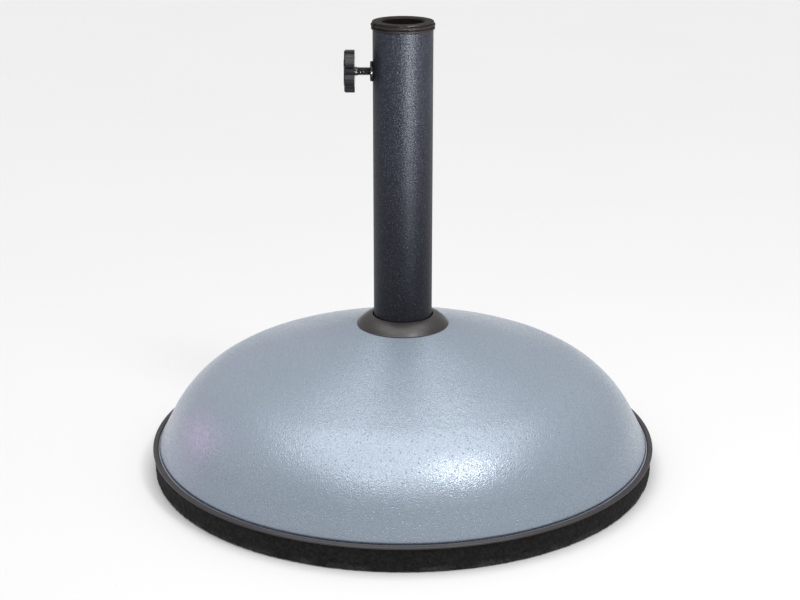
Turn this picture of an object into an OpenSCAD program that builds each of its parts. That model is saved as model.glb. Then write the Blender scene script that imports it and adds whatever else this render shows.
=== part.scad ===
// Domed parasol base: a concrete core cast inside a moulded dome, standing in a
// black tray, with a bolted-in steel tube, a loose cover collar, a push-in pole
// reducer and a side clamping screw.
// Millimetres, +Z up. The origin is on the ground under the middle of the tube.

/* [Base] */
// Outer diameter of the tray's lip, the widest part of the base
lip_d = 500; // [480:1:520]
// Height of the lip's outer edge above the ground
lip_z = 24; // [22:0.5:27]
// Wall thickness of the moulded dome
shell_t = 3; // [2:0.5:4]
// Radius of the dome's rounded shoulder
shoulder_r = 114.7; // [112:0.1:117]
// Radius of the dome's nearly straight upper flank
flank_r = 1874; // [1600:1:2200]
// Slope at which the shoulder turns into the flank, measured from the vertical
shoulder_turn = 69.6; // [68:0.1:71]
// Number of rubber feet
foot_n = 6; // [4:1:8]
// Diameter of the circle that the feet stand on
foot_pcd = 380; // [300:1:420]

/* [Tube] */
// Outer diameter of the steel tube
tube_d = 57; // [55:0.5:60]
// Wall thickness of the steel tube
tube_t = 2; // [1.5:0.1:2.5]
// Height of the tube's top end above the ground
tube_top = 434.7; // [420:0.1:480]

/* [Collar] */
// Outer diameter of the cover collar
collar_d = 90.6; // [86:0.2:96]
// Diameter of the collar's hole
collar_hole_d = 59; // [58.6:0.1:61]

/* [Reducer] */
// Bore of the reducer, which sets the thickest pole
pole_bore_d = 40; // [36:0.5:42]
// Height of the reducer's flange above the tube
flange_h = 7.7; // [6:0.1:10]
// Depth of the reducer's skirt inside the tube
skirt_h = 30; // [20:1:33]

/* [Clamp] */
// Height of the clamping screw's axis above the ground
screw_z = 395; // [380:1:395]
// Outer diameter of the star knob
knob_d = 40; // [36:0.5:44]
// Thickness of the star knob
knob_t = 10; // [9:0.5:12]
// Free length of the screw between the tube and the knob
knob_gap = 16.8; // [15:0.1:20]

/* [Hidden] */
$fn = 96;
eps = 0.01;

// Tray and lip
rim_r = lip_d / 2;
lip_w = 4.9;
lip_t = 2.4;
tray_in_r = rim_r - lip_w;
tray_out_r = rim_r - 3.2;
lip_top = lip_z + 1.6;
lip_under = lip_top - lip_t;
floor_z = 3;
floor_top = 7;
band_r = rim_r - 1.6;
band_z = 1.5;

// Dome
foot_r = tray_in_r - 0.5;
foot_h = 1;
skirt_turn = 28.2;
shoulder_c = [rim_r - 120.3, lip_z - 28.45];
flank_c = shoulder_c - (flank_r - shoulder_r) * [cos(shoulder_turn), sin(shoulder_turn)];
cast_gap = 0.05;

// Hollow in the middle of the base
liner_r = tube_d / 2 + 0.2;
liner_t = 2.7;
mouth_r = liner_r + liner_t + 0.2;
cup_r = 32;
cup_z = 15;
cup_t = 3;
web_z = 33;
tube_z = 36;
bolt_hole_r = 7;

// Tube and its fixing
tube_r = tube_d / 2;
bore_r = tube_r - tube_t;
plug_h = 14;
seat_z = tube_z + plug_h;
seat_h = 20;
bolt_r = 6;
bolt_flats = 18;
washer_r = 25;
washer_t = 3;
spring_t = 2.5;
head_h = 7.5;
bolt_l = 40;

// Collar: a shell ring that stands clear of the dome by a small gap
collar_h = 10.2;
collar_t = 2.4;
collar_gap = 0.3;
crown_r = 27;
crown_back = 5.8;

// Feet and their screws
pad_r = 20;
pad_t = 4.5;
pad_recess = 1.5;
foot_screw_r = 2.4;
foot_head_r = 5;
foot_head_t = 2;
anchor_r = 6;
anchor_l = 38;

// Clamping screw: it turns about +X, and every x below is negative
thread_r = 4;
thread_clear = 0.05;
boss_r = 9.5;
boss_h = 2.4;
boss_spigot_r = 6;
neck_r = 4.1;
neck_l = 2.7;
knob_in = -tube_r - knob_gap;
knob_out = knob_in - knob_t;
head_t = 5.3;
head_flats = 13;
head_in = knob_in - 2;
cap_r = 9;
cap_t = 2.2;
pad_face = -20.5;
pad_back = -24.5;
swivel_r = 2.6;
swivel_bead_r = 3.1;
lobe_n = 6;
scallop_r = knob_d * 0.1625;
scallop_at = knob_d * 0.549;
lobe_tilt = 6;

// Points along an arc about c, from angle a0 to angle a1
function arc(c, r, a0, a1, n) =
    [for (i = [0:n]) let (a = a0 + (a1 - a0) * i / n) c + r * [cos(a), sin(a)]];

// Height of the dome's upper flank at radius r, for a surface inset below it
function flank_z(r, inset = 0) =
    flank_c[1] + sqrt(pow(flank_r - inset, 2) - pow(r - flank_c[0], 2));

// Where the shoulder's arc begins, for a surface inset below it
function shoulder_start(inset) =
    shoulder_c + (shoulder_r - inset) * [cos(skirt_turn), sin(skirt_turn)];

// The dome's outline from radius r0 on its straight skirt, over the shoulder, up to radius r1
function dome_line(r0, r1, inset) = let (p = shoulder_start(inset)) concat(
    [[r0, p[1] - (r0 - p[0]) / tan(skirt_turn)]],
    arc(shoulder_c, shoulder_r - inset, skirt_turn, shoulder_turn, 36),
    arc(flank_c, flank_r - inset, shoulder_turn,
        acos((r1 - flank_c[0]) / (flank_r - inset)), 20));

function flip(points) = [for (i = [len(points) - 1:-1:0]) points[i]];

// A ring turned about Z from an outline in r and z
module turned(points) {
    rotate_extrude($fn = 180) polygon(points);
}

// A cylinder along +X from x0 to x1 at the screw's height
module bar(r, x0, x1) {
    translate([x0, 0, screw_z]) rotate([0, 90, 0]) cylinder(r = r, h = x1 - x0);
}

// A hexagonal bar along +X, by its width across flats
module hex_bar(flats, x0, x1) {
    translate([x0, 0, screw_z]) rotate([0, 90, 0])
        cylinder(d = flats / cos(30), h = x1 - x0, $fn = 6);
}

module at_feet() {
    for (i = [0:foot_n - 1])
        rotate([0, 0, (i + 0.5) * 360 / foot_n]) translate([foot_pcd / 2, 0, 0]) children();
}

// Moulded dome, with a small rounded edge where its foot meets the tray
module dome_shell() {
    inner_foot_r = foot_r - shell_t;
    edge_z = lip_top + foot_h;
    outer = dome_line(foot_r - 1.3, mouth_r, 0);
    inner = dome_line(inner_foot_r, mouth_r, shell_t);
    color("lightsteelblue") turned(concat(
        [[inner_foot_r, floor_top], [foot_r - 0.5, floor_top], [foot_r, floor_top + 0.5],
         [foot_r, edge_z - 1.4], [foot_r - 0.4, edge_z - 0.6]],
        outer, flip(inner)));
}

// Concrete, cast into the dome round the liner and over the tray's cup
module concrete_core() {
    out_r = foot_r - shell_t - cast_gap;
    line = dome_line(out_r, liner_r + liner_t, shell_t + cast_gap);
    color("darkgray") difference() {
        turned(concat(
            [[bolt_hole_r, cup_z + cup_t], [cup_r + cup_t, cup_z + cup_t],
             [cup_r + cup_t, floor_top], [out_r, floor_top]],
            line,
            [[liner_r + liner_t, web_z], [bolt_hole_r, web_z]]));
        at_feet() translate([0, 0, floor_top - 1]) cylinder(r = anchor_r, h = anchor_l + 1);
    }
}

// Black tray with the visible lip, a raised cup for the bolt, and pockets for the feet
module base_tray() {
    nose_r = lip_t / 2;
    color("dimgray") difference() {
        turned(concat(
            [[bolt_hole_r, cup_z], [cup_r, cup_z], [cup_r, floor_z],
             [tray_out_r, floor_z], [tray_out_r, lip_under]],
            arc([rim_r - nose_r, lip_under + nose_r], nose_r, -90, 70, 12),
            [[tray_in_r + 0.6, lip_top], [tray_in_r, lip_top - 0.6], [tray_in_r, floor_top],
             [cup_r + cup_t, floor_top], [cup_r + cup_t, cup_z + cup_t],
             [bolt_hole_r, cup_z + cup_t]]));
        at_feet() translate([0, 0, floor_z - 1]) cylinder(r = pad_r + 0.2, h = pad_recess + 1);
        at_feet() cylinder(r = foot_screw_r + 0.2, h = floor_top + 1);
    }
}

// Rough rubber band round the tray's wall, under the lip
module edge_band() {
    color("black") turned([
        [tray_out_r, band_z], [band_r - 1, band_z], [band_r, band_z + 1],
        [band_r, lip_under - 0.4], [band_r - 0.4, lip_under], [tray_out_r, lip_under]]);
}

module rubber_feet() {
    color("black") at_feet() rotate_extrude() polygon([
        [foot_head_r + 1, 0], [pad_r - 1, 0], [pad_r, 1], [pad_r, pad_t],
        [foot_screw_r + 0.2, pad_t], [foot_screw_r + 0.2, pad_t - 1.3],
        [foot_head_r + 1, pad_t - 1.3]]);
}

// Cross-headed screws that hold the feet and the tray to the core
module foot_screws() {
    head_z = pad_t - 1.3;
    tip_z = floor_top + anchor_l - 8;
    color("silver") at_feet() difference() {
        union() {
            translate([0, 0, head_z - foot_head_t]) cylinder(r1 = foot_head_r - 0.6, r2 = foot_head_r, h = foot_head_t);
            translate([0, 0, head_z]) cylinder(r = foot_screw_r, h = tip_z - head_z);
            translate([0, 0, tip_z]) cylinder(r1 = foot_screw_r, r2 = 0.4, h = 3);
        }
        for (a = [0, 90]) rotate([0, 0, a])
            translate([-2.6, -0.5, head_z - foot_head_t - 1]) cube([5.2, 1, 2.2]);
    }
}

// Plastic plugs cast into the core for the foot screws
module foot_anchors() {
    color("gray") at_feet() difference() {
        translate([0, 0, floor_top]) cylinder(r = anchor_r, h = anchor_l);
        translate([0, 0, floor_top - 1]) cylinder(r = foot_screw_r, h = anchor_l - 3);
    }
}

// Plastic liner cast into the core, with a floor that the tube stands on
module socket_liner() {
    out_r = liner_r + liner_t;
    top = flank_z(out_r) - 0.4;
    color("darkslategray") turned([
        [bolt_hole_r, web_z], [out_r, web_z], [out_r, top], [liner_r, top],
        [liner_r, tube_z], [bolt_hole_r, tube_z]]);
}

// Steel tube, drilled for the boss of the clamping screw
module stand_tube() {
    color("darkslategray") difference() {
        translate([0, 0, tube_z]) cylinder(r = tube_r, h = tube_top - tube_z);
        translate([0, 0, tube_z - 1]) cylinder(r = bore_r, h = tube_top - tube_z + 2);
        bar(boss_spigot_r, -tube_r - 5, 0);
    }
}

// Steel plug welded into the tube's foot, threaded for the fixing bolt
module tube_end_plug() {
    color("silver") turned([
        [bolt_r + thread_clear, tube_z], [bore_r, tube_z], [bore_r, seat_z - 1],
        [bore_r - 1, seat_z], [bolt_r + thread_clear, seat_z]]);
}

module fixing_bolt() {
    under_head = cup_z - washer_t - spring_t;
    color("silver") {
        difference() {
            translate([0, 0, under_head - head_h]) cylinder(d = bolt_flats / cos(30), h = head_h, $fn = 6);
            translate([0, 0, under_head - head_h - 1]) cylinder(r = 4, h = 1.4);
        }
        translate([0, 0, under_head - eps]) cylinder(r = bolt_r, h = bolt_l + eps);
    }
}

// Split spring washer under the bolt's head
module lock_washer() {
    color("gray") difference() {
        translate([0, 0, cup_z - washer_t - spring_t]) cylinder(r = bolt_r + 4.2, h = spring_t);
        translate([0, 0, cup_z - washer_t - spring_t - 1]) cylinder(r = bolt_r + 0.2, h = spring_t + 2);
        translate([bolt_r + 2, 0, cup_z - washer_t - spring_t / 2]) rotate([25, 0, 0])
            cube([8, 1.6, 8], center = true);
    }
}

module fixing_washer() {
    color("silver") difference() {
        translate([0, 0, cup_z - washer_t]) cylinder(r = washer_r, h = washer_t);
        translate([0, 0, cup_z - washer_t - 1]) cylinder(r = bolt_r + 0.5, h = washer_t + 2);
    }
}

// Plastic cup that centres the foot of the pole at the bottom of the tube
module pole_seat() {
    in_r = pole_bore_d / 2 + 0.5;
    out_r = bore_r - 0.2;
    color("black") turned([
        [4, seat_z], [out_r, seat_z], [out_r, seat_z + seat_h], [out_r - 1, seat_z + seat_h],
        [in_r, seat_z + seat_h - 6], [in_r, seat_z + 3], [4, seat_z + 3]]);
}

// Flanged bush welded into the tube's side, saddled to the tube and threaded for the screw
module screw_boss() {
    face = -tube_r - boss_h;
    color("dimgray") difference() {
        union() {
            difference() {
                bar(boss_r, face + 0.5, -tube_r + 2);
                cylinder(r = tube_r, h = tube_top);
            }
            translate([face, 0, screw_z]) rotate([0, 90, 0])
                cylinder(r1 = boss_r - 0.5, r2 = boss_r, h = 0.5 + eps);
            bar(boss_spigot_r, face + 1, -bore_r + 0.3);
        }
        bar(thread_r + thread_clear, face - 1, 0);
    }
}

// Loose plastic ring that hides the joint between the tube and the dome
module cover_collar() {
    out_r = collar_d / 2;
    in_r = collar_hole_d / 2;
    foot_z = flank_z(out_r) + collar_gap;
    top_z = foot_z + collar_h;
    c = [in_r - crown_back, top_z - sqrt(pow(crown_r, 2) - pow(crown_back + 0.8, 2))];
    color("dimgray") turned(concat(
        [[out_r - 0.7, foot_z + 0.21], [out_r - 0.2, foot_z + 0.1], [out_r, foot_z + 0.3]],
        arc(c, crown_r, 38.2, 75.8, 18),
        [[in_r + 0.3, top_z], [in_r, top_z - 0.4]],
        arc(c, crown_r - collar_t, 76.4, 44.3, 14)));
}

// Reducer pushed into the top of the tube: a ridged flange over a ribbed sleeve
module top_insert() {
    pole_r = pole_bore_d / 2;
    sleeve_r = pole_r + 2.5;
    fit_r = bore_r - 0.08;
    top = tube_top + flange_h;
    edge_r = tube_r + 0.5;
    color("dimgray") difference() {
        union() {
            turned([
                [pole_r, tube_top - skirt_h], [sleeve_r, tube_top - skirt_h], [sleeve_r, tube_top - 4],
                [fit_r, tube_top - 4], [fit_r, tube_top], [edge_r - 0.3, tube_top],
                [edge_r + 0.9, tube_top + 0.7], [edge_r + 0.9, tube_top + 1.9],
                [edge_r - 0.3, tube_top + 2.7], [edge_r - 0.3, tube_top + 3.1],
                [edge_r + 1.2, tube_top + 3.8], [edge_r + 1.2, tube_top + 5.1],
                [edge_r - 0.5, tube_top + 5.9], [edge_r - 0.5, tube_top + 6.3],
                [edge_r, tube_top + 6.5], [edge_r, top - 0.5], [edge_r - 0.6, top],
                [pole_r + 1.3, top], [pole_r, top - 1.3]]);
            intersection() {
                for (i = [0:7]) rotate([0, 0, 22.5 + i * 45])
                    translate([sleeve_r - 0.5, -1, tube_top - skirt_h]) cube([10, 2, skirt_h - 4 + eps]);
                translate([0, 0, tube_top - skirt_h - 1]) cylinder(r = fit_r, h = skirt_h + 1);
            }
        }
        rotate([0, 0, -154]) translate([edge_r - 1, -1.1, tube_top + 2]) cube([4, 2.2, 4.6]);
    }
}

// Swivelling pad on the screw's tip, which presses on the pole
module thrust_pad() {
    color("white") difference() {
        union() {
            bar(5.5, pad_back, pad_face - 0.6);
            translate([pad_face - 0.6 - eps, 0, screw_z]) rotate([0, 90, 0])
                cylinder(r1 = 5.5, r2 = 4.9, h = 0.6 + eps);
        }
        bar(swivel_r + thread_clear, pad_back - 1, pad_back + 2.2);
        bar(swivel_bead_r + thread_clear, pad_back + 1, pad_back + 2.2);
    }
}

// Hexagon-headed clamping screw, moulded into the knob
module clamp_screw() {
    shoulder = pad_back - 0.1;
    color("dimgray") {
        hex_bar(head_flats, head_in - head_t, head_in);
        bar(neck_r, head_in - eps, knob_in + neck_l);
        bar(thread_r, knob_in + neck_l - eps, shoulder);
        bar(swivel_r, shoulder - eps, pad_back + 1.2);
        bar(swivel_bead_r, pad_back + 1.2 - eps, pad_back + 2);
    }
}

// Star knob: a disc with scallops between its lobes and a rounded outer edge
module knob_head() {
    knob_r = knob_d / 2;
    edge = 2;
    color("black") difference() {
        intersection() {
            translate([knob_out, 0, screw_z]) rotate([0, 90, 0]) rotate_extrude() polygon(concat(
                [[0, 0]], arc([knob_r - edge, edge], edge, -90, 0, 8),
                [[knob_r, knob_t - 0.3], [knob_r - 0.3, knob_t], [0, knob_t]]));
            translate([knob_out, 0, screw_z]) rotate([0, 90, 0]) rotate([0, 0, -90 - lobe_tilt])
                linear_extrude(knob_t) difference() {
                    circle(r = knob_r + 1);
                    for (i = [0:lobe_n - 1]) rotate([0, 0, (i + 0.5) * 360 / lobe_n])
                        translate([scallop_at, 0]) circle(r = scallop_r);
                }
        }
        hex_bar(head_flats, knob_out + cap_t - eps, head_in);
        bar(cap_r, knob_out - 1, knob_out + cap_t);
        bar(neck_r, knob_out, knob_in + 1);
    }
}

// Snap-in disc that closes the knob's outer face
module knob_cap() {
    color("black") translate([knob_out + 0.2, 0, screw_z]) rotate([0, 90, 0])
        cylinder(r = cap_r, h = cap_t - 0.2);
}

dome_shell();
concrete_core();
base_tray();
edge_band();
rubber_feet();
foot_screws();
foot_anchors();
socket_liner();
stand_tube();
tube_end_plug();
fixing_bolt();
lock_washer();
fixing_washer();
pole_seat();
screw_boss();
cover_collar();
top_insert();
thrust_pad();
clamp_screw();
knob_head();
knob_cap();
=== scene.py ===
# Looks of the parasol base: turned and shaped meshes over the CAD frame, with procedural finishes.
import math

import bmesh
import bpy
import numpy as np
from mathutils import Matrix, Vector


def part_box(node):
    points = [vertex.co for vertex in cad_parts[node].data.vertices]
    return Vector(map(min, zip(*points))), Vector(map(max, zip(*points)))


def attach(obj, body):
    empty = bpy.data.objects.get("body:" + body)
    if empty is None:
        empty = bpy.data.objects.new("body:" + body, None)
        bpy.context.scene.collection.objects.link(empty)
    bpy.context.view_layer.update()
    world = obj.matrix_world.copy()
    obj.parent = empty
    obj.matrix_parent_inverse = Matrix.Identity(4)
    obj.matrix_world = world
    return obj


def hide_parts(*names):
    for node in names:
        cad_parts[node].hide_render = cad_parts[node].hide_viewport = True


MM = 0.001
STEPS = 192            # facets round a piece of the stand
SCREW_STEPS = 96       # facets round a piece of the clamp
RIM_STEPS = 720        # facets round the base
BAND_STEPS = 1500      # facets round the rough band
FULL_TURN = 2 * math.pi


# ---------------------------------------------------------------- frame
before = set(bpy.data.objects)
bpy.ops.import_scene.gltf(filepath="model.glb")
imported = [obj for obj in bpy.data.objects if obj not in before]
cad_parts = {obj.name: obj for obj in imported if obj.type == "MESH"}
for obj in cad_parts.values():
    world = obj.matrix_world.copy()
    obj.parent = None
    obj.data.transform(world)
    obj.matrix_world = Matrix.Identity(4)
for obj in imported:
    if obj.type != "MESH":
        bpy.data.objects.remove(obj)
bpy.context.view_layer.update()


def reach(node):
    """Half width along Y, lowest and highest Z of a CAD node that stands on the Z axis."""
    low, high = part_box(node)
    return high.y, low.z, high.z


# ---------------------------------------------------------------- camera
SENSOR_WIDTH = 36.0      # millimetres
LENS = 74.6235           # millimetres
CAMERA_AT = Vector((-0.0028, -1.5441, 0.6918))
CAMERA_PITCH = 0.32702   # radians below the horizon


def make_camera():
    data = bpy.data.cameras.new("camera")
    data.sensor_width = SENSOR_WIDTH
    data.lens = LENS
    data.clip_start = 0.01
    camera = bpy.data.objects.new("camera", data)
    camera.location = CAMERA_AT
    camera.rotation_euler = (math.pi / 2 - CAMERA_PITCH, 0, 0)
    bpy.context.scene.collection.objects.link(camera)
    bpy.context.scene.camera = camera


# ---------------------------------------------------------------- outlines
def arc(centre, radius, start, end, count):
    """Points along an arc in degrees, as [r, z]."""
    angles = np.radians(np.linspace(start, end, count + 1))
    return [[centre[0] + radius * math.cos(a), centre[1] + radius * math.sin(a)] for a in angles]


def rounded(corners, closed=True, count=5):
    """An outline from corners [r, z, fillet radius], with each corner turned into an arc.

    A point stands a little before each arc and a little after it, so that flat stretches shade flat.
    Neither the arc nor that margin takes up more than a share of the shorter side."""
    most_of_side, margin_share, margin_most = 0.45, 0.04, 0.25 * MM
    points = []
    total = len(corners)
    for i, (r, z, fillet) in enumerate(corners):
        here = np.array([r, z])
        if fillet <= 0 or (not closed and i in (0, total - 1)):
            points.append(here)
            continue
        before = np.array(corners[i - 1][:2]) - here
        after = np.array(corners[(i + 1) % total][:2]) - here
        room = min(np.linalg.norm(before), np.linalg.norm(after))
        before /= np.linalg.norm(before)
        after /= np.linalg.norm(after)
        half = math.acos(max(-1.0, min(1.0, float(before @ after)))) / 2
        back = min(fillet / math.tan(half), room * most_of_side)
        radius = back * math.tan(half)
        middle = (before + after) / np.linalg.norm(before + after)
        centre = here + middle * radius / math.sin(half)
        start = here + before * back - centre
        end = here + after * back - centre
        margin = min(margin_most, room * margin_share)
        points.append(here + before * (back + margin))
        sweep = math.atan2(start[0] * end[1] - start[1] * end[0], float(start @ end))
        for k in range(count + 1):
            a = sweep * k / count
            points.append(centre + [start[0] * math.cos(a) - start[1] * math.sin(a),
                                    start[0] * math.sin(a) + start[1] * math.cos(a)])
        points.append(here + after * (back + margin))
    return np.array(points)


def filled(points, gap):
    """The same outline with long stretches divided, so that no step is longer than gap."""
    made = []
    for a, b in zip(points, np.roll(points, -1, axis=0)):
        count = max(1, math.ceil(np.linalg.norm(b - a) / gap))
        made += [a + (b - a) * k / count for k in range(count)]
    return np.array(made)


# ---------------------------------------------------------------- meshes
SAME_PLACE = 1e-7      # metres between points that count as one


def grid_mesh(name, points, cap=False):
    """A closed mesh from rings of points, an array of (rings, around, 3). Each ring joins the next,
    and the last joins the first. With cap, the two ends are closed to their middles instead."""
    rings, around = points.shape[:2]
    verts = points.reshape(-1, 3)
    index = np.arange(rings * around).reshape(rings, around)
    last = rings - 1 if cap else rings
    faces = []
    for i in range(last):
        low, high = index[i], index[(i + 1) % rings]
        faces.append(np.stack([low, np.roll(low, -1), np.roll(high, -1), high], axis=1))
    faces = [list(map(int, f)) for f in np.concatenate(faces)]
    if cap:
        ends = np.stack([points[0].mean(axis=0), points[-1].mean(axis=0)])
        first = len(verts)
        verts = np.concatenate([verts, ends])
        for k in range(around):
            after = (k + 1) % around
            faces.append([first, int(index[0][after]), int(index[0][k])])
            faces.append([first + 1, int(index[-1][k]), int(index[-1][after])])
    mesh = bpy.data.meshes.new(name)
    mesh.from_pydata(verts.tolist(), [], faces)
    bm = bmesh.new()
    bm.from_mesh(mesh)
    bmesh.ops.remove_doubles(bm, verts=bm.verts, dist=SAME_PLACE)
    bmesh.ops.recalc_face_normals(bm, faces=bm.faces)
    bm.to_mesh(mesh)
    bm.free()
    mesh.polygons.foreach_set("use_smooth", [True] * len(mesh.polygons))
    return mesh


def turned(name, outline, steps=STEPS, shape=None):
    """A ring turned about Z from an outline of [r, z]. shape(points) may move its points."""
    angles = np.linspace(0, FULL_TURN, steps, endpoint=False)
    r, z = outline[:, 0][:, None], outline[:, 1][:, None]
    points = np.stack([r * np.cos(angles), r * np.sin(angles), z + 0 * angles], axis=2)
    if shape is not None:
        points = shape(points)
    return grid_mesh(name, points)


def turned_about_x(name, outline, steps=SCREW_STEPS, shape=None, cap=False):
    """A ring turned about the clamping screw's axis from an outline of [radius, x].

    shape(points) may move its points, which are still about the X axis then."""
    angles = np.linspace(0, FULL_TURN, steps, endpoint=False)
    r, x = outline[:, 0][:, None], outline[:, 1][:, None]
    points = np.stack([x + 0 * angles, r * np.cos(angles), r * np.sin(angles)], axis=2)
    if shape is not None:
        points = shape(points)
    points = points + np.array([0, 0, SCREW_Z])
    return grid_mesh(name, points, cap)


def piece(mesh, body, finish, node):
    """Puts a mesh in the scene as a piece that rides on a body and stands for a CAD node."""
    made = bpy.data.objects.new(mesh.name, mesh)
    bpy.context.scene.collection.objects.link(made)
    mesh.materials.append(finish)
    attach(made, body)
    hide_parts(node)


def cut(mesh, cutters, operation="DIFFERENCE"):
    """The mesh after an exact boolean with each of the cutter meshes. It keeps its name."""
    target = bpy.data.objects.new("target", mesh)
    bpy.context.scene.collection.objects.link(target)
    tools = []
    for tool_mesh in cutters:
        tool = bpy.data.objects.new("tool", tool_mesh)
        bpy.context.scene.collection.objects.link(tool)
        step = target.modifiers.new("cut", "BOOLEAN")
        step.operation = operation
        step.solver = "EXACT"
        step.object = tool
        tools.append(tool)
    graph = bpy.context.evaluated_depsgraph_get()
    made = bpy.data.meshes.new_from_object(target.evaluated_get(graph))
    name = mesh.name
    for old in [target, *tools]:
        bpy.data.objects.remove(old)
    for old in [mesh, *cutters]:
        bpy.data.meshes.remove(old)
    made.name = name
    return made


def block(low, high, turn):
    """A box mesh between two corners, turned about Z by an angle in degrees."""
    bm = bmesh.new()
    bmesh.ops.create_cube(bm, size=1.0)
    low, high = Vector(low), Vector(high)
    for v in bm.verts:
        v.co = Vector([(low[i] + high[i]) / 2 + v.co[i] * (high[i] - low[i]) for i in range(3)])
    c, s = math.cos(math.radians(turn)), math.sin(math.radians(turn))
    for v in bm.verts:
        v.co = Vector((v.co.x * c - v.co.y * s, v.co.x * s + v.co.y * c, v.co.z))
    mesh = bpy.data.meshes.new("block")
    bm.to_mesh(mesh)
    bm.free()
    return mesh


def rough(points, size, seed):
    """Smooth noise, mostly between -1 and 1, at the points: seeded sine waves about size long."""
    waves, spread = 48, 1.6
    rng = np.random.default_rng(seed)
    flat = points.reshape(-1, 3)
    total = np.zeros(len(flat))
    for _ in range(waves):
        direction = rng.normal(size=3)
        direction /= np.linalg.norm(direction)
        wave = FULL_TURN / (size * rng.uniform(0.7, 1.5))
        total += np.sin(flat @ direction * wave + rng.uniform(0, FULL_TURN))
    return (total / math.sqrt(waves) / spread).reshape(points.shape[:-1])


# ---------------------------------------------------------------- finishes
class Finish:
    """A procedural material round one principled shader.

    node() adds a shader node and returns one of its outputs. Its sockets are given by name, with _
    for a space, or by number as i0, i1 and so on, where a node has several of one name."""

    def __init__(self, name, **fixed):
        self.material = bpy.data.materials.new(name)
        self.material.use_nodes = True
        self.tree = self.material.node_tree
        self.shader = self.tree.nodes["Principled BSDF"]
        for socket, value in fixed.items():
            self.shader.inputs[socket.replace("_", " ")].default_value = value
        self.place = self.node("ShaderNodeTexCoord", "Object")

    def node(self, kind, output=0, settings=None, **sockets):
        made = self.tree.nodes.new(kind)
        for name, value in (settings or {}).items():
            setattr(made, name, value)
        for name, value in sockets.items():
            key = int(name[1:]) if name[0] == "i" and name[1:].isdigit() else name.replace("_", " ")
            self.feed(made.inputs[key], value)
        return made.outputs[output]

    def feed(self, socket, value):
        if isinstance(value, bpy.types.NodeSocket):
            self.tree.links.new(value, socket)
        else:
            socket.default_value = value

    def set(self, socket, value):
        self.feed(self.shader.inputs[socket], value)

    def noise(self, size, detail=2.0, roughness=0.5):
        """Noise from 0 to 1, whose largest lumps are about size metres across."""
        return self.node("ShaderNodeTexNoise", "Fac", Vector=self.place, Scale=1 / size,
                         Detail=detail, Roughness=roughness)

    def cells(self, size, output="Distance"):
        """Scattered cells about size metres across: the distance to their middles, or their colour."""
        return self.node("ShaderNodeTexVoronoi", output, Vector=self.place, Scale=1 / size)

    def ramp(self, value, low, high, out_low=0.0, out_high=1.0):
        """The value, taken from the range low to high into the range out_low to out_high."""
        return self.node("ShaderNodeMapRange", Value=value, From_Min=low, From_Max=high,
                         To_Min=out_low, To_Max=out_high)

    def times(self, a, b):
        return self.node("ShaderNodeMath", 0, {"operation": "MULTIPLY"}, i0=a, i1=b)

    def mix(self, share, a, b):
        """A colour mixed by share from a to b."""
        return self.node("ShaderNodeMix", 2, {"data_type": "RGBA"}, i0=share, i6=a, i7=b)

    def bump(self, height, distance, under=None):
        """A normal from a height of 0 to 1 that stands for distance metres, laid over another."""
        sockets = {"Height": height, "Distance": distance}
        if under is not None:
            sockets["Normal"] = under
        return self.node("ShaderNodeBump", **sockets)


def rgb(red, green, blue):
    return (red, green, blue, 1.0)


def warm_grey(value):
    return rgb(value, value * 0.98, value * 0.97)


PLASTIC_IOR = 1.5      # also right for lacquer, powder coat and rubber

DOME_TINT_A = rgb(0.310, 0.367, 0.434)
DOME_TINT_B = rgb(0.335, 0.393, 0.460)
DOME_GRAIN_DARK = rgb(0.230, 0.276, 0.345)
DOME_FLAKE = rgb(0.58, 0.63, 0.66)
# painted shade: the dark colour laid into the hammered pits
DOME_PIT_SHADE = rgb(0.14, 0.16, 0.22)


def dome_finish():
    """Part-metallic blue-grey lacquer on a finely hammered surface, with bright flakes, and pits that
    the bump dents and painted shade darkens.
    """
    f = Finish("dome_paint", IOR=PLASTIC_IOR, Specular_IOR_Level=0.6, Metallic=0.27)
    cloud = f.noise(0.11, 3.0)
    grain = f.noise(0.0015, 1.0)
    flake = f.ramp(f.cells(0.0040), 0.14, 0.06)
    # cells for the pits: a dent in the bump, and painted shade in the colour
    pit_and_painted_shade = f.ramp(f.cells(0.0036), 0.22, 0.10)
    tone = f.mix(f.ramp(cloud, 0.3, 0.7), DOME_TINT_A, DOME_TINT_B)
    tone = f.mix(f.ramp(grain, 0.3, 0.7, 0.0, 0.8), tone, DOME_GRAIN_DARK)
    tone = f.mix(f.times(flake, 0.6), tone, DOME_FLAKE)
    # painted shade: the pits darkened in the colour, as well as dented by the bump below
    tone = f.mix(f.times(pit_and_painted_shade, 0.4), tone, DOME_PIT_SHADE)
    f.set("Base Color", tone)
    f.set("Roughness", f.ramp(grain, 0.35, 0.65, 0.21, 0.35))
    normal = f.bump(f.noise(0.0045), 0.00013)
    normal = f.bump(f.noise(0.0013, 1.0), 0.00024, under=normal)
    normal = f.bump(pit_and_painted_shade, -0.0002, under=normal)
    f.set("Normal", normal)
    return f.material


def moulded_finish(name, colour, roughness, grain=0.0012, depth=0.00003, gloss=0.5):
    """Satin moulded plastic, or enamel: faint clouding, fine grain and a few dull rubbed patches."""
    f = Finish(name, IOR=PLASTIC_IOR, Specular_IOR_Level=gloss)
    cloud = f.noise(0.03, 3.0)
    speck = f.noise(grain, 2.0, 0.6)
    darker = rgb(*(c * 0.72 for c in colour[:3]))
    lighter = rgb(*(c * 1.35 for c in colour[:3]))
    tone = f.mix(f.ramp(cloud, 0.32, 0.68), darker, colour)
    tone = f.mix(f.ramp(speck, 0.55, 0.8, 0.0, 0.8), tone, lighter)
    f.set("Base Color", tone)
    rubbed = f.noise(0.012, 4.0, 0.65)
    f.set("Roughness", f.ramp(rubbed, 0.3, 0.7, roughness - 0.07, roughness + 0.09))
    normal = f.bump(speck, depth)
    normal = f.bump(f.noise(0.02), 0.00012, under=normal)
    f.set("Normal", normal)
    return f.material


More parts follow.
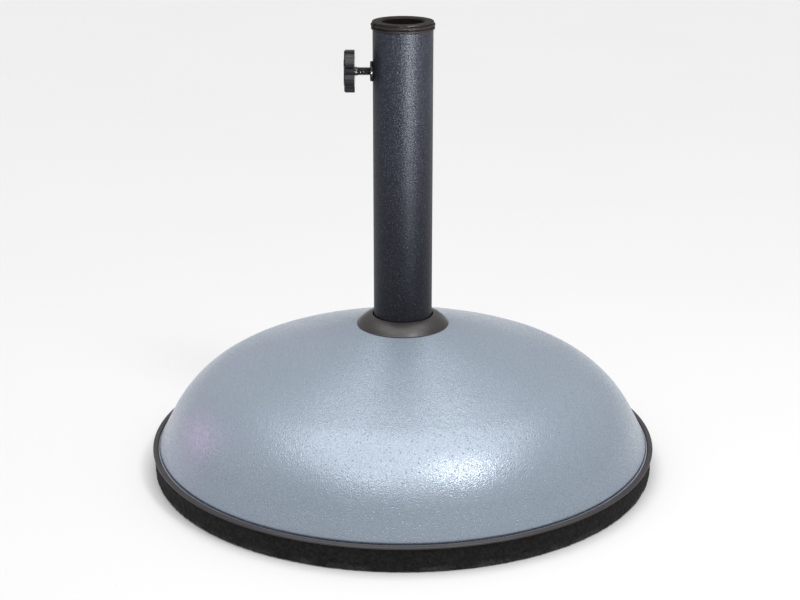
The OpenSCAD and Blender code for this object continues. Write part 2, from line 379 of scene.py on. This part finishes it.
def band_finish():
    """Rough black granulate: crumbs in several near-blacks, grey dust, and lighter grey patches near
    the ground.
    """
    f = Finish("band_rubber", IOR=PLASTIC_IOR, Specular_IOR_Level=0.22)
    crumbs = f.cells(0.0026, "Color")
    crumb = f.node("ShaderNodeSeparateColor", Color=crumbs)
    dust = f.noise(0.0016, 3.0, 0.7)
    patch = f.noise(0.02, 3.0)
    tone = f.mix(crumb, rgb(0.003, 0.003, 0.003), rgb(0.012, 0.012, 0.01176))
    tone = f.mix(f.ramp(dust, 0.56, 0.74, 0.0, 0.75), tone, warm_grey(0.05))
    height = f.node("ShaderNodeSeparateXYZ", "Z", Vector=f.place)
    # lighter grey patches low on the band, fading out about 7.5 mm above the ground
    toward_ground = f.ramp(height, 7.5 * MM, 2 * MM)
    low_grey_patch = f.times(toward_ground, f.ramp(patch, 0.35, 0.6))
    low_grey_patch = f.times(low_grey_patch, f.ramp(dust, 0.4, 0.6, 0.2, 1.0))
    tone = f.mix(f.times(low_grey_patch, 0.7), tone, warm_grey(0.09))
    f.set("Base Color", tone)
    f.set("Roughness", f.ramp(dust, 0.3, 0.7, 0.72, 0.95))
    f.set("Normal", f.bump(f.noise(0.0024, 4.0, 0.7), 0.0008))
    return f.material


def powder_finish():
    """Dark blue-black powder coat with a fine leathery grain and sparse bright grains."""
    f = Finish("tube_coat", IOR=PLASTIC_IOR, Specular_IOR_Level=0.22,
               Specular_Tint=rgb(0.84, 0.91, 1.0))
    grain = f.noise(0.0012, 1.0)
    cloud = f.noise(0.03, 3.0)
    tone = f.mix(f.ramp(cloud, 0.3, 0.7), rgb(0.0076, 0.0082, 0.0125), rgb(0.0108, 0.0116, 0.0165))
    tone = f.mix(f.ramp(grain, 0.5, 0.72, 0.0, 0.8), tone, rgb(0.039, 0.043, 0.055))
    spark = f.ramp(f.cells(0.0030), 0.16, 0.07)
    tone = f.mix(f.times(spark, 0.6), tone, rgb(0.13, 0.14, 0.16))
    f.set("Base Color", tone)
    f.set("Roughness", f.ramp(grain, 0.3, 0.7, 0.38, 0.54))
    normal = f.bump(grain, 0.0003)
    normal = f.bump(f.noise(0.004), 0.00012, under=normal)
    f.set("Normal", normal)
    return f.material


def zinc_finish():
    """Zinc-plated steel with faint staining and a fine grain."""
    f = Finish("zinc_steel", Metallic=1.0)
    cloud = f.noise(0.008, 4.0, 0.6)
    grain = f.noise(0.0006, 2.0, 0.6)
    tone = f.mix(f.ramp(cloud, 0.45, 0.8, 0.0, 0.5), rgb(0.62, 0.63, 0.65), rgb(0.12, 0.11, 0.1))
    f.set("Base Color", tone)
    f.set("Roughness", f.ramp(cloud, 0.3, 0.7, 0.32, 0.50))
    f.set("Normal", f.bump(grain, 0.00002))
    return f.material


def concrete_finish():
    """Cast concrete: sandy grain, darker damp clouds and small air holes, dented by the bump and
    darkened with painted shade.
    """
    f = Finish("concrete")
    sand = f.noise(0.0016, 3.0, 0.7)
    cloud = f.noise(0.06, 4.0)
    hole = f.ramp(f.cells(0.009), 0.12, 0.05)
    tone = f.mix(f.ramp(cloud, 0.3, 0.7), rgb(0.30, 0.29, 0.27), rgb(0.42, 0.41, 0.38))
    tone = f.mix(f.ramp(sand, 0.4, 0.7, 0.0, 0.5), tone, rgb(0.5, 0.48, 0.44))
    # painted shade: the air holes darkened in the colour
    tone = f.mix(hole, tone, rgb(0.12, 0.115, 0.11))
    f.set("Base Color", tone)
    f.set("Roughness", f.ramp(sand, 0.3, 0.7, 0.8, 0.95))
    normal = f.bump(sand, 0.0003)
    f.set("Normal", f.bump(hole, -0.0006, under=normal))
    return f.material


def floor_finish():
    """Pale matt studio floor, clear from below so that the underside can be seen."""
    f = Finish("studio_floor", Roughness=0.9)
    f.set("Base Color", f.mix(f.noise(0.4), rgb(0.70, 0.70, 0.70), rgb(0.72, 0.72, 0.72)))
    from_below = f.node("ShaderNodeNewGeometry", "Backfacing")
    clear = f.node("ShaderNodeBsdfTransparent")
    shown = f.node("ShaderNodeMixShader", i0=from_below, i1=f.shader.outputs[0], i2=clear)
    f.feed(f.tree.nodes["Material Output"].inputs["Surface"], shown)
    return f.material


# ---------------------------------------------------------------- sizes read from the frame
TRAY_LOW, TRAY_TOP = reach("base_tray")[1:]
RIM_R = -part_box("base_tray")[0].x
TUBE_R, TUBE_LOW, TUBE_TOP = reach("stand_tube")
BAND_R, BAND_LOW, BAND_TOP = reach("edge_band")
FOOT_R, DOME_LOW = reach("dome_shell")[:2]
COLLAR_R, COLLAR_LOW, COLLAR_TOP = reach("cover_collar")
SKIRT_LOW, INSERT_TOP = reach("top_insert")[1:]
KNOB_R = reach("knob_head")[0]
KNOB_OUT, KNOB_IN = (corner.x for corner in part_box("knob_head"))
BOSS_R = reach("screw_boss")[0]
BOSS_FACE, BOSS_END = (corner.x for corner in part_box("screw_boss"))
PAD_BACK, PAD_FACE = (corner.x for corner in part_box("thrust_pad"))
SCREW_Z = (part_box("screw_boss")[0].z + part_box("screw_boss")[1].z) / 2

# Sizes inside the pieces, as in the part's source.
POLE_R = 20 * MM              # reducer's bore
BORE_R = TUBE_R - 2 * MM      # tube's bore
SKIN_R = RIM_R - 3.2 * MM     # tray's wall, which the band is glued to
SPIGOT_R = 6 * MM             # boss in the tube's wall
COLLAR_HOLE_R = 29.5 * MM
FOOT_PAD_R = 20 * MM
FEET = 6
PITCH = 1.25 * MM             # M8 thread
CREST_R, ROOT_R = 4.0 * MM, 3.3 * MM
NECK_R = 4.1 * MM             # screw's plain neck, and the knob's hole for it
CAP_SEAT_R = 9 * MM           # knob's recess for its cap
CAP_SEAT = KNOB_OUT + 2.2 * MM


# ---------------------------------------------------------------- base
def dome_outline():
    """The dome's closed outline: a shadow gap over the foot, a straight skirt, a shoulder, a flank.

    The shoulder and the flank are arcs that meet smoothly at the angle turn, and skirt is the
    angle where the shoulder begins. Both are in degrees, from level outwards."""
    wall = 3 * MM
    skirt, turn = 28.2, 69.6
    shoulder_r, flank_r = 114.7 * MM, 1874 * MM
    shoulder = np.array([RIM_R - 120.3 * MM, TRAY_TOP - 30.05 * MM])
    way = np.array([math.cos(math.radians(turn)), math.sin(math.radians(turn))])
    flank = shoulder - (flank_r - shoulder_r) * way
    mouth_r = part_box("socket_liner")[1].y + 0.2 * MM

    def line(inset, foot_r, gap):
        """From the foot up to the mouth, inset from the outside, in steps of about gap."""
        start = arc(shoulder, shoulder_r - inset, skirt, skirt, 1)[0]
        foot = [foot_r, start[1] - (foot_r - start[0]) / math.tan(math.radians(skirt))]
        end = math.degrees(math.acos((mouth_r - flank[0]) / (flank_r - inset)))
        length = math.hypot(foot[0] - start[0], foot[1] - start[1])
        straight = [[start[0] + (foot[0] - start[0]) * k, start[1] + (foot[1] - start[1]) * k]
                    for k in np.linspace(1, 0, math.ceil(length / gap) + 1)]
        low = math.ceil(math.radians(turn - skirt) * shoulder_r / gap)
        high = math.ceil(math.radians(end - turn) * flank_r / gap)
        return (straight[:-1] + arc(shoulder, shoulder_r - inset, skirt, turn, low)
                + arc(flank, flank_r - inset, turn, end, high)[1:])

    outer = line(0, FOOT_R - 1.0 * MM, 2.2 * MM)
    inner = line(wall, FOOT_R - wall, 8 * MM)[::-1]
    edge = outer[0][1]
    slot_r = FOOT_R - 2.5 * MM
    foot = rounded([[FOOT_R - wall, DOME_LOW, 0], [FOOT_R, DOME_LOW, 0.4 * MM],
                    [FOOT_R, edge - 1.5 * MM, 0.2 * MM], [slot_r, edge - 1.2 * MM, 0.3 * MM],
                    [slot_r, edge - 0.25 * MM, 0.2 * MM], [*outer[0], 0]], closed=False)
    return np.array(foot.tolist()[:-1] + outer + inner)


def make_dome(finish):
    """The dome, with the slight waviness of a hand-finished moulding on its outside."""
    wave, lump = 0.16 * MM, 0.035 * MM

    def waved(points):
        outside = points[..., 2] > TRAY_TOP + 3 * MM
        swell = wave * rough(points, 60 * MM, 3) + lump * rough(points, 9 * MM, 4)
        radius = np.hypot(points[..., 0], points[..., 1])[..., None]
        out = points * [1, 1, 0] / radius * 0.6 + [0, 0, 0.8]     # outwards and up
        return points + out * (swell * outside)[..., None]

    mesh = turned("dome", dome_outline(), RIM_STEPS, waved)
    piece(mesh, "base", finish, "dome_shell")


def make_tray(finish):
    """The tray with its rounded lip, the raised cup for the bolt and the pockets for the feet."""
    wall_in = RIM_R - 4.9 * MM
    under, floor_top = TRAY_TOP - 2.4 * MM, TRAY_LOW + 4 * MM
    hole_r, cup_r, cup_t, cup_z = 7 * MM, 32 * MM, 3 * MM, TRAY_LOW + 12 * MM
    outline = rounded([
        [hole_r, cup_z, 0.3 * MM], [cup_r, cup_z, 1.2 * MM], [cup_r, TRAY_LOW, 0.8 * MM],
        [SKIN_R, TRAY_LOW, 0], [SKIN_R, under, 0.2 * MM],
        [RIM_R, under, 0.9 * MM], [RIM_R, TRAY_TOP - 0.7 * MM, 0.9 * MM],
        [wall_in + 1.0 * MM, TRAY_TOP, 0.6 * MM], [wall_in, TRAY_TOP - 0.5 * MM, 0.4 * MM],
        [wall_in, floor_top, 0.6 * MM], [cup_r + cup_t, floor_top, 0.5 * MM],
        [cup_r + cup_t, cup_z + cup_t, 1.2 * MM], [hole_r, cup_z + cup_t, 0.3 * MM]])
    mesh = turned("tray", outline, RIM_STEPS // 2)
    pocket_r = FOOT_PAD_R + 0.2 * MM
    low, high = TRAY_LOW - 1 * MM, TRAY_LOW + 1.5 * MM
    pocket = rounded([[0, low, 0], [pocket_r, low, 0], [pocket_r, high, 0.3 * MM], [0, high, 0]],
                     closed=False)
    cutters = []
    for place in foot_places():
        tool = turned("pocket", pocket, SCREW_STEPS)
        for v in tool.vertices:
            v.co += place
        cutters.append(tool)
    piece(cut(mesh, cutters), "base", finish, "base_tray")


def foot_places():
    """Where the feet stand: one is on +Y, where the CAD node reaches its full width."""
    ring = reach("rubber_feet")[0] - FOOT_PAD_R
    angles = [math.radians(360 / FEET * (i + 0.5)) for i in range(FEET)]
    return [Vector((ring * math.cos(a), ring * math.sin(a), 0)) for a in angles]


def make_band(finish):
    """The band, with an outside that is lumpy at two sizes. Its crumbs are in the finish."""
    outline = filled(rounded([
        [SKIN_R, BAND_LOW, 0], [BAND_R, BAND_LOW, 1.2 * MM], [BAND_R, BAND_TOP, 0.5 * MM],
        [SKIN_R, BAND_TOP, 0]]), 0.9 * MM)
    highest = 0.45 * MM

    def lumpy(points):
        radius = np.hypot(points[..., 0], points[..., 1])
        skin = np.clip((radius - SKIN_R - 0.2 * MM) / (1.0 * MM), 0, 1)
        lumps = 0.30 * rough(points, 7 * MM, 11) + 0.34 * rough(points, 3.4 * MM, 12)
        lumps = np.minimum(lumps * MM, highest) - highest
        radial = points * [1, 1, 0] / radius[..., None]
        return points + radial * (lumps * skin)[..., None]

    mesh = turned("edge_band_rough", outline, BAND_STEPS, lumpy)
    piece(mesh, "base", finish, "edge_band")


def make_tube(finish):
    """The tube, with softened ends and the hole that the boss is welded into."""
    outline = filled(rounded([
        [BORE_R, TUBE_LOW, 0.4 * MM], [TUBE_R, TUBE_LOW, 0.4 * MM],
        [TUBE_R, TUBE_TOP, 0.4 * MM], [BORE_R, TUBE_TOP, 0.4 * MM]]), 12 * MM)
    past = 5 * MM
    ends = np.array([[SPIGOT_R, -TUBE_R - past], [SPIGOT_R, -BORE_R + past]])
    hole = turned_about_x("hole", ends, 64, cap=True)
    piece(cut(turned("tube", outline), [hole]), "base", finish, "stand_tube")


def make_boss(finish):
    """The flanged bush: its flange is saddled to the tube, its spigot sits in the tube's wall."""
    bore = CREST_R + 0.05 * MM
    outline = rounded([
        [bore, BOSS_FACE, 0.3 * MM], [BOSS_R, BOSS_FACE, 0.7 * MM], [BOSS_R, -TUBE_R, 0],
        [SPIGOT_R, -TUBE_R, 0], [SPIGOT_R, BOSS_END, 0.2 * MM], [bore, BOSS_END, 0.2 * MM]])

    def saddled(points):
        y = points[..., 1]
        tube = -np.sqrt(np.maximum(TUBE_R ** 2 - y ** 2, 0))
        behind = np.isclose(points[..., 0], -TUBE_R, atol=1e-6)
        points = points.copy()
        points[..., 0] = np.where(behind, tube, points[..., 0])
        return points

    mesh = turned_about_x("boss", outline, 128, saddled)
    piece(mesh, "base", finish, "screw_boss")


def make_collar(finish):
    """The loose cover ring: a thin shell, crowned outside and hollow underneath."""
    wall, crown_r, lip_r = 2.4 * MM, 27 * MM, 0.6 * MM
    middle = np.array([COLLAR_HOLE_R - 5.8 * MM,
                       COLLAR_TOP - math.sqrt(crown_r ** 2 - (6.6 * MM) ** 2)])
    from_rim = [(4.0, 1.13), (0.9, 0.2), (0.4, 0.08), (0.12, 0.12), (0.0, 0.3), (0.1, 0.55)]
    heel = [[COLLAR_R - inset * MM, COLLAR_LOW + height * MM] for inset, height in from_rim]
    lip = arc([COLLAR_HOLE_R + lip_r, COLLAR_TOP - lip_r], lip_r, 84, 180, 6)
    outline = np.array(heel + arc(middle, crown_r, 38.6, 75.2, 28) + lip
                       + arc(middle, crown_r - wall, 76.4, 44.3, 16))
    piece(turned("collar", outline), "collar", finish, "cover_collar")


def make_reducer(finish):
    """The reducer: ridged flange with a notch, crowned top ring, sleeve and eight ribs."""
    edge = TUBE_R + 0.5 * MM
    sleeve, fit = POLE_R + 2.5 * MM, BORE_R - 0.08 * MM
    ribs, rib_half, notch_half, notch_at = 8, 1 * MM, 1.1 * MM, -154

    def at(height):
        """Z at a height in millimetres over the tube's end."""
        return TUBE_TOP + height * MM

    outline = rounded([
        [POLE_R, SKIRT_LOW, 0.4 * MM], [sleeve, SKIRT_LOW, 0.4 * MM], [sleeve, at(-4), 0.4 * MM],
        [fit, at(-4), 0.3 * MM], [fit, at(0), 0.1 * MM], [edge - 0.3 * MM, at(0), 0.2 * MM],
        [edge + 0.9 * MM, at(0.5), 0.45 * MM], [edge + 0.9 * MM, at(2.1), 0.6 * MM],
        [edge - 0.3 * MM, at(2.75), 0.25 * MM], [edge - 0.3 * MM, at(3.05), 0.25 * MM],
        [edge + 1.2 * MM, at(3.6), 0.5 * MM], [edge + 1.2 * MM, at(5.3), 0.6 * MM],
        [edge - 0.5 * MM, at(5.95), 0.25 * MM], [edge - 0.5 * MM, at(6.25), 0.2 * MM],
        [edge, at(6.5), 0.2 * MM], [edge, INSERT_TOP, 0.5 * MM],
        [POLE_R + 1.3 * MM, INSERT_TOP, 0.6 * MM], [POLE_R, INSERT_TOP - 1.3 * MM, 0.6 * MM]])
    added = [block([sleeve - 0.5 * MM, -rib_half, SKIRT_LOW + 0.2 * MM],
                   [fit - 0.05 * MM, rib_half, at(-3.8)], 360 / ribs * (i + 0.5)) for i in range(ribs)]
    notch = block([edge - 1 * MM, -notch_half, at(2)], [edge + 3 * MM, notch_half, at(6.6)], notch_at)
    mesh = cut(cut(turned("reducer", outline), added, "UNION"), [notch])
    piece(mesh, "reducer", finish, "top_insert")


# ---------------------------------------------------------------- clamp
def make_screw(finish):
    """The clamping screw: a true helical thread between a plain neck and the swivel tip."""
    around, per_turn = 64, 12
    tooth_slope, tooth_top, run_out = 3.2, 1.25, 1.2 * MM
    neck_end, shoulder = KNOB_IN + 2.7 * MM, PAD_BACK - 0.1 * MM
    rows = int(round((shoulder - neck_end) / PITCH * per_turn))
    x = np.linspace(neck_end, shoulder, rows + 1)[:, None]
    turns = np.linspace(0, 1, around, endpoint=False)[None, :]
    phase = np.mod((x - neck_end) / PITCH - turns, 1.0)
    tooth = np.clip(tooth_top - np.abs(phase - 0.5) * tooth_slope, 0, 1)
    faded = np.clip((shoulder - x) / run_out, 0, 1)
    angles = turns * FULL_TURN

    def rings(r, along):
        return np.stack([along + 0 * angles, r * np.cos(angles), r * np.sin(angles)], axis=2)

    def plain(outline):
        return rings(*np.array(outline).T[:, :, None])

    tip_r, ball_r = 2.6 * MM, 3.1 * MM
    head = plain([[NECK_R, KNOB_IN - 6 * MM], [NECK_R, KNOB_IN], [NECK_R, neck_end - 0.4 * MM],
                  [NECK_R - 0.3 * MM, neck_end - 0.05 * MM]])
    thread = rings(ROOT_R + (CREST_R - ROOT_R) * tooth * faded, x)
    tip = plain([[tip_r, shoulder + 0.05 * MM], [tip_r, PAD_BACK + 1.2 * MM],
                 [ball_r, PAD_BACK + 1.25 * MM], [ball_r, PAD_BACK + 1.9 * MM],
                 [ball_r - 0.2 * MM, PAD_BACK + 2.0 * MM]])
    points = np.concatenate([head, thread, tip]) + np.array([0, 0, SCREW_Z])
    mesh = grid_mesh("screw", points, cap=True)
    piece(mesh, "knob", finish, "clamp_screw")


def lobed_ring(count=480):
    """Outline of the star knob as (y, z) points and outward normals: lobes on the knob's circle,
    round scallops between them, and a small blend where the two meet, smoothed by a blur."""
    lobes, tilt = 6, 6.0
    scallop_r, scallop_at, blend = KNOB_R * 0.325, KNOB_R * 1.098, 0.9 * MM
    blur, blur_ends = 2.2, 6      # in points
    angles = np.linspace(0, FULL_TURN, count, endpoint=False)
    within = np.mod(angles, FULL_TURN / lobes) - math.pi / lobes
    off = scallop_at * np.sin(np.abs(within))
    inside = np.maximum(scallop_r ** 2 - off ** 2, 0)
    hollow = scallop_at * np.cos(within) - np.sqrt(inside)
    hollow = np.where(inside > 0, hollow, KNOB_R * 1.2)
    share = np.clip(0.5 + 0.5 * (KNOB_R - hollow) / blend, 0, 1)
    radius = KNOB_R * (1 - share) + hollow * share - blend * share * (1 - share)
    kernel = np.exp(-0.5 * (np.arange(-blur_ends, blur_ends + 1) / blur) ** 2)
    wrapped = np.concatenate([radius[-blur_ends:], radius, radius[:blur_ends]])
    radius = np.convolve(wrapped, kernel / kernel.sum(), mode="valid")
    turn = angles + math.radians(-90 - tilt) - math.pi
    ring = np.stack([radius * np.cos(turn), radius * np.sin(turn)], axis=1)
    along = np.roll(ring, -1, axis=0) - np.roll(ring, 1, axis=0)
    normal = np.stack([along[:, 1], -along[:, 0]], axis=1)
    return ring, normal / np.linalg.norm(normal, axis=1)[:, None]


def make_knob(finish):
    """The star knob: rounded outer edge, crisp inner edge, dished outer face round the cap."""
    ring, normal = lobed_ring()
    edge, back, thick = 2.0 * MM, 0.5 * MM, KNOB_IN - KNOB_OUT
    profile = [(edge * (1 - math.sin(a)), edge * (1 - math.cos(a)))
               for a in np.linspace(0, math.pi / 2, 9)]
    profile += [(0.0, edge + 0.6 * MM), (0.0, thick - back - 0.4 * MM), (0.0, thick - back),
                (back * 0.3, thick - back * 0.3), (back, thick)]
    rows = [np.stack([np.full(len(ring), KNOB_OUT + depth), *(ring - normal * inset).T], axis=1)
            for inset, depth in profile]
    direction = ring / np.linalg.norm(ring, axis=1)[:, None]

    def circles(*sizes):
        return [np.stack([np.full(len(ring), x), *(direction * radius).T], axis=1)
                for radius, x in sizes]

    hexagon_r, hexagon_end = 7.6 * MM, KNOB_IN - 2 * MM
    hollow = circles(
        (NECK_R, hexagon_end), (hexagon_r, hexagon_end), (hexagon_r, CAP_SEAT), (CAP_SEAT_R, CAP_SEAT),
        (CAP_SEAT_R, KNOB_OUT + 0.7 * MM), (9.1 * MM, KNOB_OUT + 0.55 * MM),
        (9.6 * MM, KNOB_OUT + 0.5 * MM), (12.6 * MM, KNOB_OUT), (13.2 * MM, KNOB_OUT))
    inner_face = circles(
        (13.6 * MM, KNOB_IN), (7.5 * MM, KNOB_IN), (6.9 * MM, KNOB_IN - 0.1 * MM),
        (NECK_R, KNOB_IN - 0.1 * MM))
    points = np.stack(hollow + rows + inner_face) + np.array([0, 0, SCREW_Z])
    piece(grid_mesh("star_knob", points), "knob", finish, "knob_head")


def make_knob_cap(finish):
    """The slightly crowned disc in the knob's outer face."""
    face, back, cap_r = KNOB_OUT + 0.2 * MM, CAP_SEAT - 0.05 * MM, CAP_SEAT_R - 0.1 * MM
    outline = rounded([
        [0, face, 0], [5 * MM, face + 0.02 * MM, 0], [cap_r, face + 0.35 * MM, 0.5 * MM],
        [cap_r, back, 0.2 * MM], [0, back, 0]], closed=False)
    piece(turned_about_x("knob_cover", outline), "knob", finish, "knob_cap")


def make_pad(finish):
    """The nylon pad, with the socket that snaps over the screw's tip."""
    outline = rounded([
        [0, PAD_FACE, 0], [5.5 * MM, PAD_FACE, 0.7 * MM], [5.5 * MM, PAD_BACK, 0.4 * MM],
        [2.65 * MM, PAD_BACK, 0.2 * MM], [2.65 * MM, PAD_BACK + 1 * MM, 0],
        [3.15 * MM, PAD_BACK + 1.05 * MM, 0], [3.15 * MM, PAD_BACK + 2.2 * MM, 0],
        [0, PAD_BACK + 2.2 * MM, 0]], closed=False)
    piece(turned_about_x("pad", outline), "clamp_pad", finish, "thrust_pad")


# ---------------------------------------------------------------- stage
FLOOR_RINGS = (0.3, 1.5, 12.0)     # radii in metres
FLOOR_STEPS = 96
WHITE = (1.0, 1.0, 1.0)
MAUVE = (1.0, 0.42, 0.78)


def make_floor(finish):
    """A round floor at ground level: a middle point and rings of points about it."""
    verts, faces = [(0, 0, 0)], []
    for ring, radius in enumerate(FLOOR_RINGS):
        for k in range(FLOOR_STEPS):
            angle = FULL_TURN * k / FLOOR_STEPS
            verts.append((radius * math.cos(angle), radius * math.sin(angle), 0))
            here = 1 + ring * FLOOR_STEPS + k
            after = 1 + ring * FLOOR_STEPS + (k + 1) % FLOOR_STEPS
            if ring == 0:
                faces.append((0, here, after))
            else:
                faces.append((here - FLOOR_STEPS, here, after, after - FLOOR_STEPS))
    mesh = bpy.data.meshes.new("floor")
    mesh.from_pydata(verts, [], faces)
    mesh.materials.append(finish)
    floor = bpy.data.objects.new("floor", mesh)
    bpy.context.scene.collection.objects.link(floor)


def aimed(light, azimuth, elevation, distance, aim):
    """Stands a light off from its aim. Azimuth 0 is on the camera's side, and 90 on its right."""
    a, e = math.radians(azimuth), math.radians(elevation)
    away = Vector((math.sin(a) * math.cos(e), -math.cos(a) * math.cos(e), math.sin(e)))
    made = bpy.data.objects.new(light.name, light)
    made.location = Vector(aim) + away * distance
    made.rotation_euler = (-away).to_track_quat("-Z", "Y").to_euler()
    bpy.context.scene.collection.objects.link(made)
    return made


def soft_box(name, azimuth, elevation, distance, width, height, power, aim=(0, 0, 0.15),
             colour=WHITE, grid=None):
    """A rectangular area light. With grid, it shines in a cone of that many degrees only, and the
    camera doesn't see it."""
    light = bpy.data.lights.new(name, "AREA")
    light.shape = "RECTANGLE"
    light.size = width
    light.size_y = height
    light.energy = power
    light.color = colour
    made = aimed(light, azimuth, elevation, distance, aim)
    if grid is not None:
        light.spread = math.radians(grid)
        made.visible_camera = False


def make_lights():
    """A wide overhead sky, two soft boxes, a gridded strip for the tube and a faint mauve glow."""
    sky = bpy.data.lights.new("sky", "SUN")
    sky.energy = 2.5
    sky.angle = math.radians(70)
    aimed(sky, 0, 88, 2, (0, 0, 0))
    soft_box("key", 39.5, 54, 1.5, 0.26, 0.34, 5.0)
    soft_box("fill", -17, 51, 1.5, 0.34, 0.38, 0.75)
    soft_box("gridded_strip", 26, -10.4, 1.8, 0.9, 0.12, 2.2, (0, 0, 0.45), grid=17)
    soft_box("mauve_glow", -120, 14, 1.6, 0.6, 0.6, 0.075, (-0.1, 0, 0.08), MAUVE, grid=34)
    world = bpy.data.worlds.new("studio")
    world.use_nodes = True
    back = world.node_tree.nodes["Background"]
    back.inputs["Color"].default_value = rgb(*WHITE)
    back.inputs["Strength"].default_value = 0.42
    bpy.context.scene.world = world


# ---------------------------------------------------------------- build
bpy.context.scene.view_settings.view_transform = "Standard"


def dress(finish, *nodes):
    """Gives carried-over CAD nodes their finish."""
    for name in nodes:
        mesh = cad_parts[name].data
        mesh.materials.clear()
        mesh.materials.append(finish)


make_camera()
make_lights()
make_floor(floor_finish())

black_steel = moulded_finish("black_steel", rgb(0.008, 0.008, 0.009), 0.26, gloss=0.45)
knob_plastic = moulded_finish("knob_plastic", rgb(0.004, 0.004, 0.005), 0.17, gloss=0.38)
collar_plastic = moulded_finish("collar_plastic", rgb(0.040, 0.037, 0.035), 0.34, 0.0016, 0.00012)
inner_plastic = moulded_finish("inner_plastic", rgb(0.12, 0.12, 0.13), 0.5)
foot_rubber = moulded_finish("foot_rubber", rgb(0.02, 0.02, 0.02), 0.75)

make_dome(dome_finish())
make_tray(moulded_finish("tray_plastic", rgb(0.038, 0.033, 0.033), 0.36, gloss=0.4))
make_band(band_finish())
make_tube(powder_finish())
make_boss(black_steel)
make_collar(collar_plastic)
make_reducer(moulded_finish("insert_plastic", rgb(0.016, 0.0135, 0.012), 0.5, gloss=0.14))
make_screw(black_steel)
make_knob(knob_plastic)
make_knob_cap(knob_plastic)
make_pad(moulded_finish("pad_plastic", rgb(0.5, 0.49, 0.46), 0.5))

dress(concrete_finish(), "concrete_core")
dress(foot_rubber, "rubber_feet")
dress(zinc_finish(), "foot_screws", "fixing_bolt", "lock_washer", "fixing_washer", "tube_end_plug")
dress(inner_plastic, "foot_anchors", "socket_liner")
dress(collar_plastic, "pole_seat")
